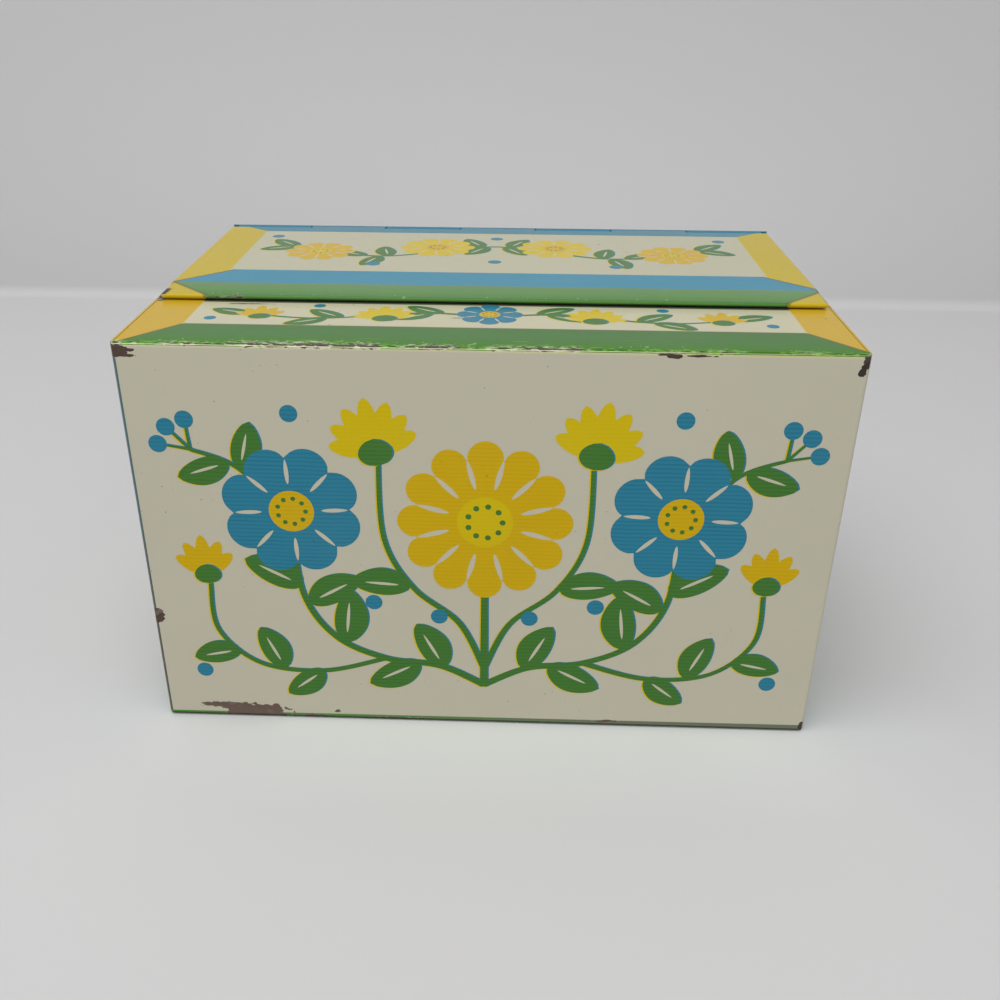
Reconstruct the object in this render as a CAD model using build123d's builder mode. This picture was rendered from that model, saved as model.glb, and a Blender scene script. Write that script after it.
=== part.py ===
from build123d import *
import math
import os

# Recipe card box of folded tinplate, with a fixed ledge along the front of its
# top and a hinged lid behind it. Millimetres, +Z up, the front faces -Y, and
# the origin is in the middle of the footprint, on the surface it stands on.

# ---------------------------------------------------------------- sheet metal
sheet = 0.4  # thickness of the tinplate
bend_inside = 0.4  # inside radius of every fold
weld_gap = 0.1  # play beside a panel that lies inside another one

# ------------------------------------------------------- cards the box is made for
card_width = 127.0
card_height = 76.2
card_side_room = 3.1  # between the cards and each side wall
card_headroom = 5.4  # from a card's top to the ledge's top
card_thickness = 0.3
card_pitch = 0.42
cards_per_section = 6
section_count = 5
guide_thickness = 0.4
guide_tab_height = 4.6
guide_tab_corner = 1.6
guide_tab_gap = 1.2
section_gap = 0.35
card_corner = 1.2
card_lean = 6.0  # degrees, tops towards the back
card_back_gap = 0.3
card_side_play = 0.5  # how far cards stand out of line sideways
card_floor_gap = 0.05

# ----------------------------------------------------------------------- body
body_depth = 91.0
ledge_depth = 32.0  # from the front face to the ledge's rear edge, under the lid
ledge_hem_depth = 4.0  # the ledge's rear edge, turned down
ledge_tab_depth = 8.0  # the ledge's ends, turned down inside the side walls
ledge_seam = 0.15  # seam between the ledge's ends and the side walls
foot_flange = 9.0  # flanges under the bottom plate, from the outer face inward
mitre_slit = 0.3  # slit between two flanges that meet in a corner
back_flange = 8.0  # back panel's side flanges, welded inside the side walls

# ------------------------------------------------------------------------ lid
lid_rise = 1.3  # lid's top over the ledge
lid_side_gap = 0.2  # between the lid's side flanges and the side walls
lid_flange_depth = 6.5
lid_seat_gap = 0.25  # rolled lip over the ledge
lip_front = 26.8  # from the front face to the lip's front
lip_run = 9.1  # from the lip's front back to its fold
lip_drop = 0.06  # fall of the lip from its fold to its rolled edge
lip_hem = 2.6  # length that is rolled under the lip
lip_fold_radius = 3.0
lip_roll_share = 0.48  # radius of the lip's roll, as a share of the lip's height
lid_corner_relief = 0.3  # between the lip's fold and the side flanges

# ---------------------------------------------------------------------- hinge
wire_radius = 0.8
knuckle_clearance = 0.05  # radial, between the wire and the curled sheet
knuckle_count = 7  # odd ones belong to the body, even ones to the lid
knuckle_gap = 0.4
hinge_length = 130.0
hinge_leaf_height = 12.0
hinge_running_gap = 0.35  # from the knuckles to what they turn beside
curl_angle = 300.0  # how far a knuckle wraps round the wire
lid_open_angle = 105.0
stop_margin = 1.5  # degrees between the open limit and the stop edge

# ------------------------------------------------------ worked out from these
bend_outside = bend_inside + sheet
floor_top = 2 * sheet
body_width = card_width + 2 * card_side_room + 2 * sheet
ledge_height = floor_top + card_height + card_headroom  # and of the side walls
bend_middle = bend_inside + sheet / 2
front_y = -body_depth / 2
back_y = body_depth / 2
side_inner = body_width / 2 - sheet
ledge_half = side_inner - ledge_seam
ledge_middle = ledge_height - sheet / 2
ledge_rear_y = front_y + ledge_depth
foot_middle = sheet / 2  # middle of the sheet in the flanges

lid_top = ledge_height + lid_rise
lid_middle = lid_top - sheet / 2
lid_half = side_inner - lid_side_gap
lip_y = front_y + lip_front
fold_y = lip_y + lip_run

knuckle_inner = wire_radius + knuckle_clearance
knuckle_outer = knuckle_inner + sheet
knuckle_middle = knuckle_inner + sheet / 2
back_inner_y = back_y - sheet
hinge_y = back_inner_y - knuckle_outer - hinge_running_gap
hinge_z = lid_top - knuckle_outer
lid_rear_y = hinge_y - knuckle_outer - hinge_running_gap
knuckle_pitch = hinge_length / knuckle_count

# The back panel's top edge is the lid's stop: at the stop angle the lid's outer
# face, one knuckle radius from the hinge axis, meets the edge's inner corner.
stop_angle = math.radians(lid_open_angle + stop_margin)
stop_reach = back_inner_y - hinge_y
stop_rise = (stop_reach * math.sin(stop_angle) - knuckle_outer) / -math.cos(stop_angle)
back_top = hinge_z + stop_rise

os.makedirs("parts", exist_ok=True)


def finish(piece, label):
    """Names a piece and writes it."""
    piece.part.label = label
    export_step(piece.part, f"parts/{label}.step")


def block(x_range, y_range, z_range, mode=Mode.ADD):
    """A square block between two corners."""
    ranges = (x_range, y_range, z_range)
    with Locations(tuple((low + high) / 2 for low, high in ranges)):
        Box(*(high - low for low, high in ranges), mode=mode)


def bent_sheet(plane, points, radii):
    """Section of a sheet whose middle line runs along points and is bent at each corner."""
    with BuildSketch(plane) as section:
        with BuildLine():
            FilletPolyline(*points, radius=radii)
        trace(line_width=sheet)
    return section.sketch


def knuckle_middle_x(number):
    """Middle of a hinge knuckle, counted from 0 at the left."""
    return -hinge_length / 2 + knuckle_pitch * (number + 0.5)


# ------------------------------------------------------------------ body wrap
# One blank: the front, the two sides, the ledge folded back from the front, and
# the flanges folded under the bottom plate.
with BuildPart() as body_space:
    # the room inside the folds, open at the rear
    block((-side_inner, side_inner), (front_y + sheet, back_y + sheet), (sheet, ledge_height - sheet))
    inner_front = body_space.faces().sort_by(Axis.Y)[0].edges()
    inner_feet = body_space.faces().sort_by(Axis.Z)[0].edges().filter_by(Axis.Y)
    fillet(inner_front + inner_feet, radius=bend_inside)

with BuildPart() as body_wrap:
    block((-body_width / 2, body_width / 2), (front_y, back_y), (0, ledge_height))
    outer_front = body_wrap.faces().sort_by(Axis.Y)[0].edges()
    outer_feet = body_wrap.faces().sort_by(Axis.Z)[0].edges().filter_by(Axis.Y)
    fillet(outer_front + outer_feet, radius=bend_outside)
    add(body_space.part, mode=Mode.SUBTRACT)
    top_cut = (ledge_height - bend_outside, ledge_height + sheet)
    floor_cut = (-sheet, bend_outside)
    # the mouth behind the ledge, and the opening between the flanges
    block((-side_inner, side_inner), (ledge_rear_y, back_y + sheet), top_cut, Mode.SUBTRACT)
    flange_inner_x = body_width / 2 - foot_flange
    flange_inner_y = (front_y + foot_flange, back_y + sheet)
    block((-flange_inner_x, flange_inner_x), flange_inner_y, floor_cut, Mode.SUBTRACT)
    # mitres between the front flange and the side flanges
    for side in (-1, 1):
        mitre_centre = (side * (body_width - foot_flange) / 2, front_y + foot_flange / 2)
        with BuildSketch(Plane.XY):
            with Locations(Location(mitre_centre, side * -45)):
                Rectangle(foot_flange * 2, mitre_slit)
        extrude(amount=sheet, mode=Mode.SUBTRACT)
    # seams beside the ledge, whose ends turn down as tabs and its rear edge as a hem
    seam_y = (front_y + bend_outside, ledge_rear_y + sheet)
    tab_y = (front_y + bend_outside + ledge_seam, ledge_rear_y)
    for side in (-1, 1):
        seam_x = sorted((side * ledge_half, side * side_inner))
        block(seam_x, seam_y, top_cut, Mode.SUBTRACT)
        tab_x = sorted((side * ledge_half, side * (ledge_half - sheet)))
        block(tab_x, tab_y, (ledge_height - ledge_tab_depth, ledge_middle))
    hem_x = ledge_half - bend_outside
    hem_y = (ledge_rear_y - sheet, ledge_rear_y)
    block((-hem_x, hem_x), hem_y, (ledge_height - ledge_hem_depth, ledge_middle))
finish(body_wrap, "body_wrap")

# ----------------------------------------------------------------- back panel
# Stands between the side walls on their flanges. Its top edge stops the lid.
with BuildPart() as back_panel:
    back_width = 2 * side_inner
    with BuildSketch(Plane.XZ.offset(-back_inner_y)) as back_outline:
        with Locations((0, (sheet + back_top) / 2)):
            Rectangle(back_width, back_top - sheet)
        chamfer(back_outline.vertices().sort_by(Axis.Y)[:2], length=bend_inside)
    extrude(amount=-sheet)
    back_foot_half = body_width / 2 - foot_flange - mitre_slit
    # the plate gives way to the fold of its own bottom flange
    with BuildSketch(Plane.XZ.offset(-back_inner_y)):
        Rectangle(2 * back_foot_half, 4 * bend_outside)
    extrude(amount=-sheet, mode=Mode.SUBTRACT)
    back_strip = [
        (back_y - sheet / 2, 3 * bend_outside),
        (back_y - sheet / 2, foot_middle),
        (back_y - foot_flange, foot_middle),
    ]
    extrude(bent_sheet(Plane.YZ, back_strip, bend_middle), amount=back_foot_half, both=True)
    back_flange_top = hinge_z - lid_flange_depth - hinge_running_gap
    for side in (-1, 1):
        side_strip = [
            (side * (side_inner - sheet / 2), back_y - sheet - back_flange),
            (side * (side_inner - sheet / 2), back_y - sheet / 2),
            (side * (side_inner - back_flange), back_y - sheet / 2),
        ]
        extrude(
            bent_sheet(Plane.XY.offset(floor_top + weld_gap), side_strip, bend_middle),
            amount=back_flange_top - floor_top - weld_gap,
        )
finish(back_panel, "back_panel")

# --------------------------------------------------------------- bottom plate
with BuildPart() as bottom_plate:
    plate_inset = sheet + bend_inside + weld_gap
    with BuildSketch(Plane.XY.offset(sheet)):
        Rectangle(body_width - 2 * plate_inset, body_depth - 2 * plate_inset)
    extrude(amount=sheet)
finish(bottom_plate, "bottom_plate")

# ------------------------------------------------------------------------ lid
# One blank: the top, the lip folded down in front and rolled under, the side
# flanges and the curled knuckles.
with BuildPart() as lid:
    roll_z = ledge_height + lid_seat_gap + sheet / 2
    lip_strip = [
        (lip_y + lip_hem, roll_z),
        (lip_y + sheet / 2, roll_z),
        (lip_y + sheet / 2, lid_middle - lip_drop),
        (fold_y, lid_middle),
        (lid_rear_y, lid_middle),
    ]
    lip_roll_radius = lip_roll_share * (lid_middle - lip_drop - roll_z)
    lip_radii = [lip_roll_radius, lip_roll_radius, lip_fold_radius]
    lip_section = bent_sheet(Plane.YZ, lip_strip, lip_radii)
    extrude(lip_section, amount=lid_half - bend_outside, both=True)
    flange_front_y = fold_y + lid_corner_relief
    for side in (-1, 1):
        flange_strip = [
            (side * (lid_half - sheet / 2), lid_top - lid_flange_depth),
            (side * (lid_half - sheet / 2), lid_middle),
            (side * (lid_half - 2 * bend_outside), lid_middle),
        ]
        extrude(
            bent_sheet(Plane.XZ.offset(-lid_rear_y), flange_strip, bend_middle),
            amount=lid_rear_y - flange_front_y,
        )
    for number in range(1, knuckle_count, 2):
        knuckle_start = knuckle_middle_x(number) - (knuckle_pitch - knuckle_gap) / 2
        with BuildSketch(Plane.YZ.offset(knuckle_start)):
            with BuildLine():
                Line((lid_rear_y, lid_middle), (hinge_y, lid_middle))
                CenterArc((hinge_y, hinge_z), knuckle_middle, 90, -curl_angle)
            trace(line_width=sheet)
        extrude(amount=knuckle_pitch - knuckle_gap)
finish(lid, "lid")

# ----------------------------------------------------------------- hinge leaf
# A strip welded inside the back panel, curled round the wire between the lid's
# own knuckles.
with BuildPart() as hinge_leaf:
    leaf_middle_y = back_inner_y - sheet / 2
    leaf_bottom = hinge_z - hinge_leaf_height
    leaf_shoulder = hinge_z - knuckle_outer - hinge_running_gap
    with BuildSketch(Plane.XZ.offset(-back_inner_y)):
        with Locations((0, (leaf_bottom + leaf_shoulder) / 2)):
            Rectangle(hinge_length, leaf_shoulder - leaf_bottom)
    extrude(amount=sheet)
    for number in range(0, knuckle_count, 2):
        knuckle_start = knuckle_middle_x(number) - (knuckle_pitch - knuckle_gap) / 2
        with BuildSketch(Plane.YZ.offset(knuckle_start)):
            with BuildLine():
                knuckle_root = (hinge_y + knuckle_middle, hinge_z)
                Polyline(
                    (leaf_middle_y, leaf_shoulder - sheet),
                    (leaf_middle_y, leaf_shoulder + sheet),
                    knuckle_root,
                )
                CenterArc((hinge_y, hinge_z), knuckle_middle, 0, curl_angle)
            trace(line_width=sheet)
        extrude(amount=knuckle_pitch - knuckle_gap)
finish(hinge_leaf, "hinge_leaf")

# ----------------------------------------------------------------- hinge wire
with BuildPart() as hinge_wire:
    with BuildSketch(Plane.YZ.offset(-hinge_length / 2)):
        with Locations((hinge_y, hinge_z)):
            Circle(wire_radius)
    extrude(amount=hinge_length)
finish(hinge_wire, "hinge_wire")

# ---------------------------------------------------------- cards and guides
# They stand on the bottom plate and lean back against the hinge leaf. Each
# section is a guide card with a tab in front of its plain cards.
lean = math.radians(card_lean)
stack_back_y = back_inner_y - sheet - card_back_gap - card_height * math.sin(lean)
stack_floor = floor_top + card_floor_gap + card_thickness * math.sin(lean)
pack_depth = card_pitch * (cards_per_section - 1) + card_thickness
section_depth = pack_depth + guide_thickness + 2 * section_gap
lean_direction = Vector(0, -math.cos(lean), math.sin(lean))


def card_plane(distance):
    """Plane of a card whose back is this far in front of the stack's rear."""
    foot_y = stack_back_y - distance / math.cos(lean)
    return Plane(origin=(0, foot_y, stack_floor), x_dir=(1, 0, 0), z_dir=lean_direction)


for section in range(section_count):
    section_number = section_count - section
    pack_back = section * section_depth
    with BuildPart() as recipe_cards:
        for card in range(cards_per_section):
            shift = card_side_play * math.sin(2.4 * card + section)
            with BuildSketch(card_plane(pack_back + card * card_pitch)):
                with Locations((shift, card_height / 2)):
                    RectangleRounded(card_width, card_height, card_corner)
            extrude(amount=card_thickness)
    finish(recipe_cards, f"recipe_cards_{section_number}")

    with BuildPart() as guide_card:
        tab_pitch = card_width / section_count
        tab_x = -card_width / 2 + tab_pitch * (section_number - 0.5)
        with BuildSketch(card_plane(pack_back + pack_depth + section_gap)) as guide_outline:
            with Locations((0, card_height / 2)):
                RectangleRounded(card_width, card_height, card_corner)
            with Locations((tab_x, card_height)):
                RectangleRounded(tab_pitch - guide_tab_gap, 2 * guide_tab_height, guide_tab_corner)
        extrude(amount=guide_thickness)
    finish(guide_card, f"guide_card_{section_number}")
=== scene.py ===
"""Dresses the recipe card box: printed tinplate, floral prints, wear, cards and a plain stage."""

import math

import bmesh
import bpy
from bpy.props import FloatProperty, FloatVectorProperty, PointerProperty
from mathutils import Euler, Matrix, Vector


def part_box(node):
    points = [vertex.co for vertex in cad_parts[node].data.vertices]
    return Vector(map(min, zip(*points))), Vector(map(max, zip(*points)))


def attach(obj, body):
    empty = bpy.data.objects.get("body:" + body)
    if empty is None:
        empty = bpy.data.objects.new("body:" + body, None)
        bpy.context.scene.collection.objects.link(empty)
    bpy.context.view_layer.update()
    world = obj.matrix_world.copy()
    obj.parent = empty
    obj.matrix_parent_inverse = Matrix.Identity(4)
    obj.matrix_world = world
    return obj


bl_info = {
    "name": "Recipe Card Box",
    "version": (1, 0, 0),
    "blender": (4, 5, 0),
    "location": "View3D > Sidebar > Card Box",
    "description": "Prints, wears and stages a folded tinplate recipe card box",
    "category": "Object",
}

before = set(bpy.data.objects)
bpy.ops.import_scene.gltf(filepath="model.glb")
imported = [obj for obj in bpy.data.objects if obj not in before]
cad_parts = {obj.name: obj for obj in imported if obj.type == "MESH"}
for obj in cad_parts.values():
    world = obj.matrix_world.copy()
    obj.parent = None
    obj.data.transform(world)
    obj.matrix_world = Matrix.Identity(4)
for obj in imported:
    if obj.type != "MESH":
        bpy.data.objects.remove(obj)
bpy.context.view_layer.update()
MM = 0.001

# The tin's faces, in millimetres of the shared frame.
BODY_LOW, BODY_HIGH = (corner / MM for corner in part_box("body_wrap"))
LID_LOW, LID_HIGH = (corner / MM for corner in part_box("lid"))
HALF_WIDTH = BODY_HIGH.x
FRONT = BODY_LOW.y
BACK = BODY_HIGH.y
LEDGE = BODY_HIGH.z
LID_HALF = LID_HIGH.x
LID_TOP = LID_HIGH.z
LIP = LID_LOW.y


def srgb(red, green, blue):
    """A colour read as 0 to 255 screen values, in the linear values that shaders take."""
    shares = (value / 255 for value in (red, green, blue))
    return tuple(v / 12.92 if v <= 0.04045 else ((v + 0.055) / 1.055) ** 2.4 for v in shares)


def colour_property(name, description, red, green, blue):
    """A colour setting with its default given as screen values."""
    return FloatVectorProperty(
        name=name,
        description=description,
        subtype="COLOR",
        size=3,
        min=0.0,
        max=1.0,
        default=srgb(red, green, blue),
    )


def size_property(name, description, default):
    """A length in millimetres, or another setting that isn't under 0."""
    return FloatProperty(name=name, description=description, default=default, min=0.0)


def place_property(name, description, *default):
    """A setting of two or three numbers."""
    return FloatVectorProperty(
        name=name, description=description, size=len(default), default=default
    )


# ---- settings
class TinColours(bpy.types.PropertyGroup):
    """Printing inks, bare metal and paper."""

    cream: colour_property("Cream", "Ground coat of the print", 196, 191, 170)
    blue: colour_property("Blue", "Blue ink", 44, 127, 153)
    green: colour_property("Green", "Green ink", 68, 120, 50)
    gold: colour_property("Gold", "Deep yellow ink", 208, 171, 8)
    yellow: colour_property("Yellow", "Clear yellow ink", 210, 184, 8)
    border: colour_property("Border yellow", "Ink of the bands beside the ledge", 204, 167, 36)
    bare: colour_property("Bare steel", "Steel that shows where the print has chipped", 72, 56, 52)
    primer: colour_property("Primer", "Pale coat at the rim of a chip", 206, 200, 176)
    lacquer: colour_property("Inside", "Clear-lacquered tinplate inside the box", 158, 154, 144)
    wire: colour_property("Wire", "Drawn steel wire", 128, 126, 122)
    card: colour_property("Card", "Plain card stock", 226, 221, 205)
    rule: colour_property("Rule", "Ruled lines on the cards", 128, 164, 188)
    guide: colour_property("Guide", "Board of the guide cards", 205, 181, 134)


class PrintSizes(bpy.types.PropertyGroup):
    """Bands and inks of the print."""

    ledge_band: size_property("Ledge band", "Green band along the ledge's front, mm", 11.65)
    side_band: size_property("Side band", "Yellow bands along the sides, mm", 9.3)
    lid_band: size_property("Lid band", "Blue band behind the lid's fold, mm", 10.4)
    rear_band: size_property("Rear band", "Blue band along the lid's rear, mm", 7.3)
    lip_run: size_property("Lip", "From the lip's front to the fold, mm", 9.1)
    foot_band: size_property("Foot", "Green that shows over the foot's fold, mm", 1.2)
    shift: size_property("Print shift", "How far the print lies to the right, mm", 0.65)
    ink_layer: size_property("Ink layer", "Thickness of one printed ink, mm", 0.001)
    line_pitch: size_property("Line pitch", "Pitch of the fine lines in the inks, mm", 0.85)
    slip: size_property("Register slip", "How far two inks are out of register, mm", 0.28)


class WearSizes(bpy.types.PropertyGroup):
    """How worn the tin is."""

    ragged: size_property("Raggedness", "How ragged a chip's edge is", 0.9)
    rim: size_property("Rim", "Width of the pale rim of a chip", 0.07)
    speck_share: size_property("Specks", "Noise level over which a speck shows", 0.79)


class StageSizes(bpy.types.PropertyGroup):
    """Camera, lamps, floor and wall."""

    lens: size_property("Lens", "Focal length, mm", 38.099)
    eye: place_property("Eye", "Where the camera stands, mm", 5.279, -223.765, 142.023)
    turn: place_property("Turn", "Camera rotation, degrees", 61.722, -0.233, 2.265)
    off_centre: place_property("Off centre", "Shift of the picture, in widths", 0.0223, 0.0313)
    wall: size_property("Wall", "From the box's middle to the wall, mm", 270.0)
    floor: colour_property("Floor", "Pale table", 208, 207, 207)
    backdrop: colour_property("Backdrop", "Pale wall", 202, 201, 201)
    sky: size_property("Sky", "Strength of the light all round", 0.53)
    softbox: size_property("Softbox", "Power of the lamp overhead, W", 3.9)


# ---- shaders
class Value:
    """A number that differs over a surface. Arithmetic with it adds nodes."""

    def __init__(self, shader, socket):
        self.shader = shader
        self.socket = socket

    def __add__(self, other):
        return self.shader.math("ADD", self, other)

    def __sub__(self, other):
        return self.shader.math("SUBTRACT", self, other)

    def __rsub__(self, other):
        return self.shader.math("SUBTRACT", other, self)

    def __mul__(self, other):
        return self.shader.math("MULTIPLY", self, other)

    def __truediv__(self, other):
        return self.shader.math("DIVIDE", self, other)

    def __abs__(self):
        return self.shader.math("ABSOLUTE", self)

    def __gt__(self, limit):
        """1 where the number is over a limit, 0 elsewhere."""
        return self.shader.math("GREATER_THAN", self, limit)

    def __lt__(self, limit):
        """1 where the number is under a limit, 0 elsewhere."""
        return self.shader.math("LESS_THAN", self, limit)

    def __and__(self, mask):
        """Where two masks are 1."""
        return self * mask

    def __or__(self, mask):
        """Where either of two masks is 1."""
        return self.at_least(mask)

    def __invert__(self):
        """Where a mask is 0."""
        return 1 - self

    __radd__ = __add__
    __rmul__ = __mul__

    def at_least(self, limit):
        """The number, or the limit where that is larger."""
        return self.shader.math("MAXIMUM", self, limit)

    def rise(self, start, end):
        """From 0 where the number is at a start to 1 where it is at an end."""
        return self.shader.math("DIVIDE", self - start, end - start, clamp=True)

    def near(self, reach):
        """From 1 where the number is 0 to 0 where it is at a reach and beyond."""
        return self.shader.math("SUBTRACT", 1.0, self / reach, clamp=True)


class Shader:
    """One material's nodes, with places on the surface in millimetres."""

    def __init__(self, name):
        self.material = bpy.data.materials.new(name)
        self.material.use_nodes = True
        self.tree = self.material.node_tree
        self.tree.nodes.clear()
        self.surface = self.new("BsdfPrincipled")
        output = self.new("OutputMaterial")
        self.put(output.inputs["Surface"], self.surface.outputs["BSDF"])
        metres = self.new("TexCoord").outputs["Object"]
        self.place = self.vector_math("SCALE", metres)
        self.place.node.inputs["Scale"].default_value = 1 / MM
        self.x, self.y, self.z = self.split(self.place)

    def new(self, kind):
        """Adds one shader node."""
        return self.tree.nodes.new("ShaderNode" + kind)

    def put(self, socket, value):
        """Links a value or a colour from another node, or sets a plain one, on an input."""
        value = getattr(value, "socket", value)
        if isinstance(value, bpy.types.NodeSocket):
            self.tree.links.new(value, socket)
        else:
            socket.default_value = value

    def vector_math(self, operation, vector, second=None, third=None):
        """One step of arithmetic on a place or a direction."""
        node = self.new("VectorMath")
        node.operation = operation
        self.put(node.inputs[0], vector)
        if second is not None:
            node.inputs[1].default_value = second
            node.inputs[2].default_value = third
        return node.outputs["Value" if operation == "LENGTH" else "Vector"]

    def split(self, vector):
        """The three parts of a vector."""
        node = self.new("SeparateXYZ")
        self.put(node.inputs[0], vector)
        return [Value(self, part) for part in node.outputs]

    def math(self, operation, first, second=0.0, clamp=False):
        """One step of arithmetic."""
        node = self.new("Math")
        node.operation = operation
        node.use_clamp = clamp
        self.put(node.inputs[0], first)
        self.put(node.inputs[1], second)
        return Value(self, node.outputs[0])

    def noise(self, size, detail=2.0, seed=0.0, stretch=(1, 1, 1)):
        """Smooth noise from 0 to 1 with features of a size in millimetres."""
        shares = [share / size for share in stretch]
        node = self.new("TexNoise")
        node.inputs["Scale"].default_value = 1.0
        node.inputs["Detail"].default_value = detail
        place = self.vector_math("MULTIPLY_ADD", self.place, shares, (seed, seed, seed))
        self.put(node.inputs["Vector"], place)
        return Value(self, node.outputs["Fac"])

    def mix(self, share, first, second):
        """A colour between two colours."""
        node = self.new("Mix")
        node.data_type = "RGBA"
        self.put(node.inputs["Factor"], share)
        for name, value in (("A", first), ("B", second)):
            socket = next(s for s in node.inputs if s.name == name and s.type == "RGBA")
            colour = value if isinstance(value, bpy.types.NodeSocket) else (*value[:3], 1.0)
            self.put(socket, colour)
        return next(s for s in node.outputs if s.type == "RGBA")

    def blend(self, share, first, second):
        """A number between two numbers."""
        return first + (second - first) * share

    def bump(self, height, reach):
        """Relief of a height in metres, from a 0 to 1 pattern."""
        node = self.new("Bump")
        node.inputs["Strength"].default_value = 1.0
        node.inputs["Distance"].default_value = reach
        self.put(node.inputs["Height"], height)
        self.put(self.surface.inputs["Normal"], node.outputs["Normal"])

    def set(self, **values):
        """Sets inputs of the surface, by name with _ for a space."""
        for name, value in values.items():
            self.put(self.surface.inputs[name.replace("_", " ")], value)


# Chips and scuffs in the print: middle, reach along X, Y and Z, and how surely
# the steel shows there. Millimetres; long thin ones run along folds.
CHIPS = (
    ((-65.8, FRONT, LEDGE - 1.55), (2.0, 1.2, 1.15), 0.95),
    ((-63.9, FRONT, LEDGE - 1.35), (1.7, 1.0, 0.35), 0.8),
    ((-64.0, FRONT, LEDGE - 2.35), (1.6, 1.0, 0.35), 0.8),
    ((-66.8, FRONT, LEDGE - 0.9), (0.6, 1.4, 1.2), 0.85),
    ((66.5, FRONT, LEDGE - 1.3), (1.1, 1.4, 1.3), 0.95),
    ((65.9, FRONT, LEDGE - 2.5), (0.55, 1.0, 1.4), 0.9),
    ((65.4, FRONT, LEDGE - 3.3), (0.4, 1.0, 0.9), 0.85),
    ((-48.2, FRONT, 1.6), (6.5, 1.4, 1.9), 1.0),
    ((-54.6, FRONT, 3.0), (5.8, 1.0, 0.75), 0.95),
    ((-35.5, FRONT, 0.6), (6.0, 1.2, 0.8), 0.55),
    ((-31.0, FRONT, 2.0), (1.6, 0.6, 1.2), 0.42),
    ((-18.0, FRONT, 0.3), (9.0, 1.0, 0.8), 0.85),
    ((25.5, FRONT, 1.4), (4.0, 1.0, 0.6), 0.5),
    ((8.0, FRONT, 0.1), (56.0, 1.0, 0.5), 0.55),
    ((-66.6, FRONT, 25.0), (2.0, 1.2, 1.9), 0.95),
    ((-67.0, FRONT, 31.0), (0.8, 0.9, 1.8), 0.6),
    ((-67.0, FRONT, 15.0), (0.8, 0.9, 2.4), 0.6),
    ((32.9, FRONT, LEDGE - 0.8), (1.7, 1.2, 0.45), 0.9),
    ((31.0, FRONT, LEDGE - 0.6), (2.2, 1.0, 0.22), 0.7),
    ((37.6, FRONT, LEDGE - 0.72), (4.2, 1.0, 0.26), 0.75),
    ((66.7, FRONT, 1.2), (0.9, 1.2, 1.8), 0.9),
    ((-42.5, FRONT, LEDGE - 4.6), (3.2, 0.5, 2.4), -0.15),
    ((-HALF_WIDTH, FRONT, 41.0), (0.6, 0.6, 46.0), 0.36),
    ((HALF_WIDTH, FRONT, 41.0), (0.5, 0.6, 46.0), 0.36),
    ((-LID_HALF + 0.4, LIP + 1.8, LEDGE + 0.7), (1.9, 3.2, 1.4), 0.75),
    ((-53.0, LIP + 0.4, LEDGE + 0.75), (6.5, 1.0, 0.7), 0.6),
    ((-5.5, FRONT + 17.8, LEDGE), (2.3, 0.3, 0.5), 0.65),
    ((-47.5, FRONT + 25.2, LEDGE), (7.5, 0.4, 0.5), 0.6),
    ((HALF_WIDTH, 0.0, LEDGE), (0.4, 46.0, 0.4), 0.42),
    ((-HALF_WIDTH, 0.0, LEDGE), (0.4, 46.0, 0.4), 0.35),
    ((-HALF_WIDTH, BACK, 20.0), (1.2, 1.2, 30.0), 0.4),
    ((HALF_WIDTH, BACK, 30.0), (1.2, 1.2, 36.0), 0.4),
    ((HALF_WIDTH, 10.0, 0.0), (0.9, 36.0, 0.9), 0.45),
    ((-HALF_WIDTH, -8.0, 0.0), (0.9, 36.0, 0.9), 0.45),
    ((10.0, BACK, 0.0), (60.0, 0.9, 0.9), 0.45),
)


# What dust, thin varnish, wear, overprinting and painted shade give, in linear values.
DUST = (0.16, 0.13, 0.08)
PALE_VARNISH = (0.80, 0.78, 0.68)
# painted shade: near black, where a contact shadow falls under the foot's fold
CONTACT_SHADE = (0.035, 0.038, 0.022)
# painted shade: the gap under the lid's lip and the underside of its roll
SHADE_GREEN = (0.03, 0.06, 0.02)
DARK_BLUE = (0.02, 0.05, 0.08)
SHADED_YELLOW = (0.50, 0.31, 0.01)
OVERPRINT = (0.09, 0.09, 0.02)
RUSTED = srgb(98, 80, 70)
SCOURED = srgb(124, 112, 104)
FOOT_STEEL = srgb(120, 102, 92)
DARK_STEEL = srgb(46, 43, 37)
RUBBED_TIN = srgb(186, 176, 150)

# The cream of the ledge and the lid, as shares of the front's red, green and blue.
LEDGE_CREAM = (1.04, 1.05, 0.94)
LID_CREAM = (0.93, 0.955, 0.87)

# Gloss of the varnish, how deep the lines in an ink are, and half the sheet's thickness.
UPRIGHT_GLOSS = 0.16
LEVEL_GLOSS = 0.31
SOLID_LINES = 0.35
YELLOW_LINES = 0.12
HALF_SHEET = 0.2

# How deep the fine relief of a surface is, in metres.
PRINT_RELIEF = 0.00003
FINE_RELIEF = 0.00002

# Stretches of the front fold from left to right, and how much more than the rest each is worn.
WORN_STRETCHES = (
    (-54.0, 17.0, 0.05),
    (-46.0, -19.0, 0.1),
    (1.0, 16.5, 0.12),
    (17.0, 80.0, -0.06),
)


def chip_field(shader):
    """How deep inside a chip a point lies: over 0 inside, under 0 outside."""
    field = None
    for middle, reach, depth in CHIPS:
        shares = [1 / r for r in reach]
        start = [-m / r for m, r in zip(middle, reach)]
        place = shader.vector_math("MULTIPLY_ADD", shader.place, shares, start)
        length = Value(shader, shader.vector_math("LENGTH", place))
        inside = depth - length
        field = inside if field is None else field.at_least(inside)
    return field


def tinted(colour, *shares):
    """A colour taken by one share, or its red, green and blue by three."""
    if len(shares) == 1:
        shares *= 3
    return [min(1.0, part * share) for part, share in zip(colour, shares)]


def varnish(shader):
    """Gloss of the varnish, which is worn thin on the upright faces."""
    return shader.blend(shader.z > LEDGE - 0.3, UPRIGHT_GLOSS, LEVEL_GLOSS)


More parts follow.
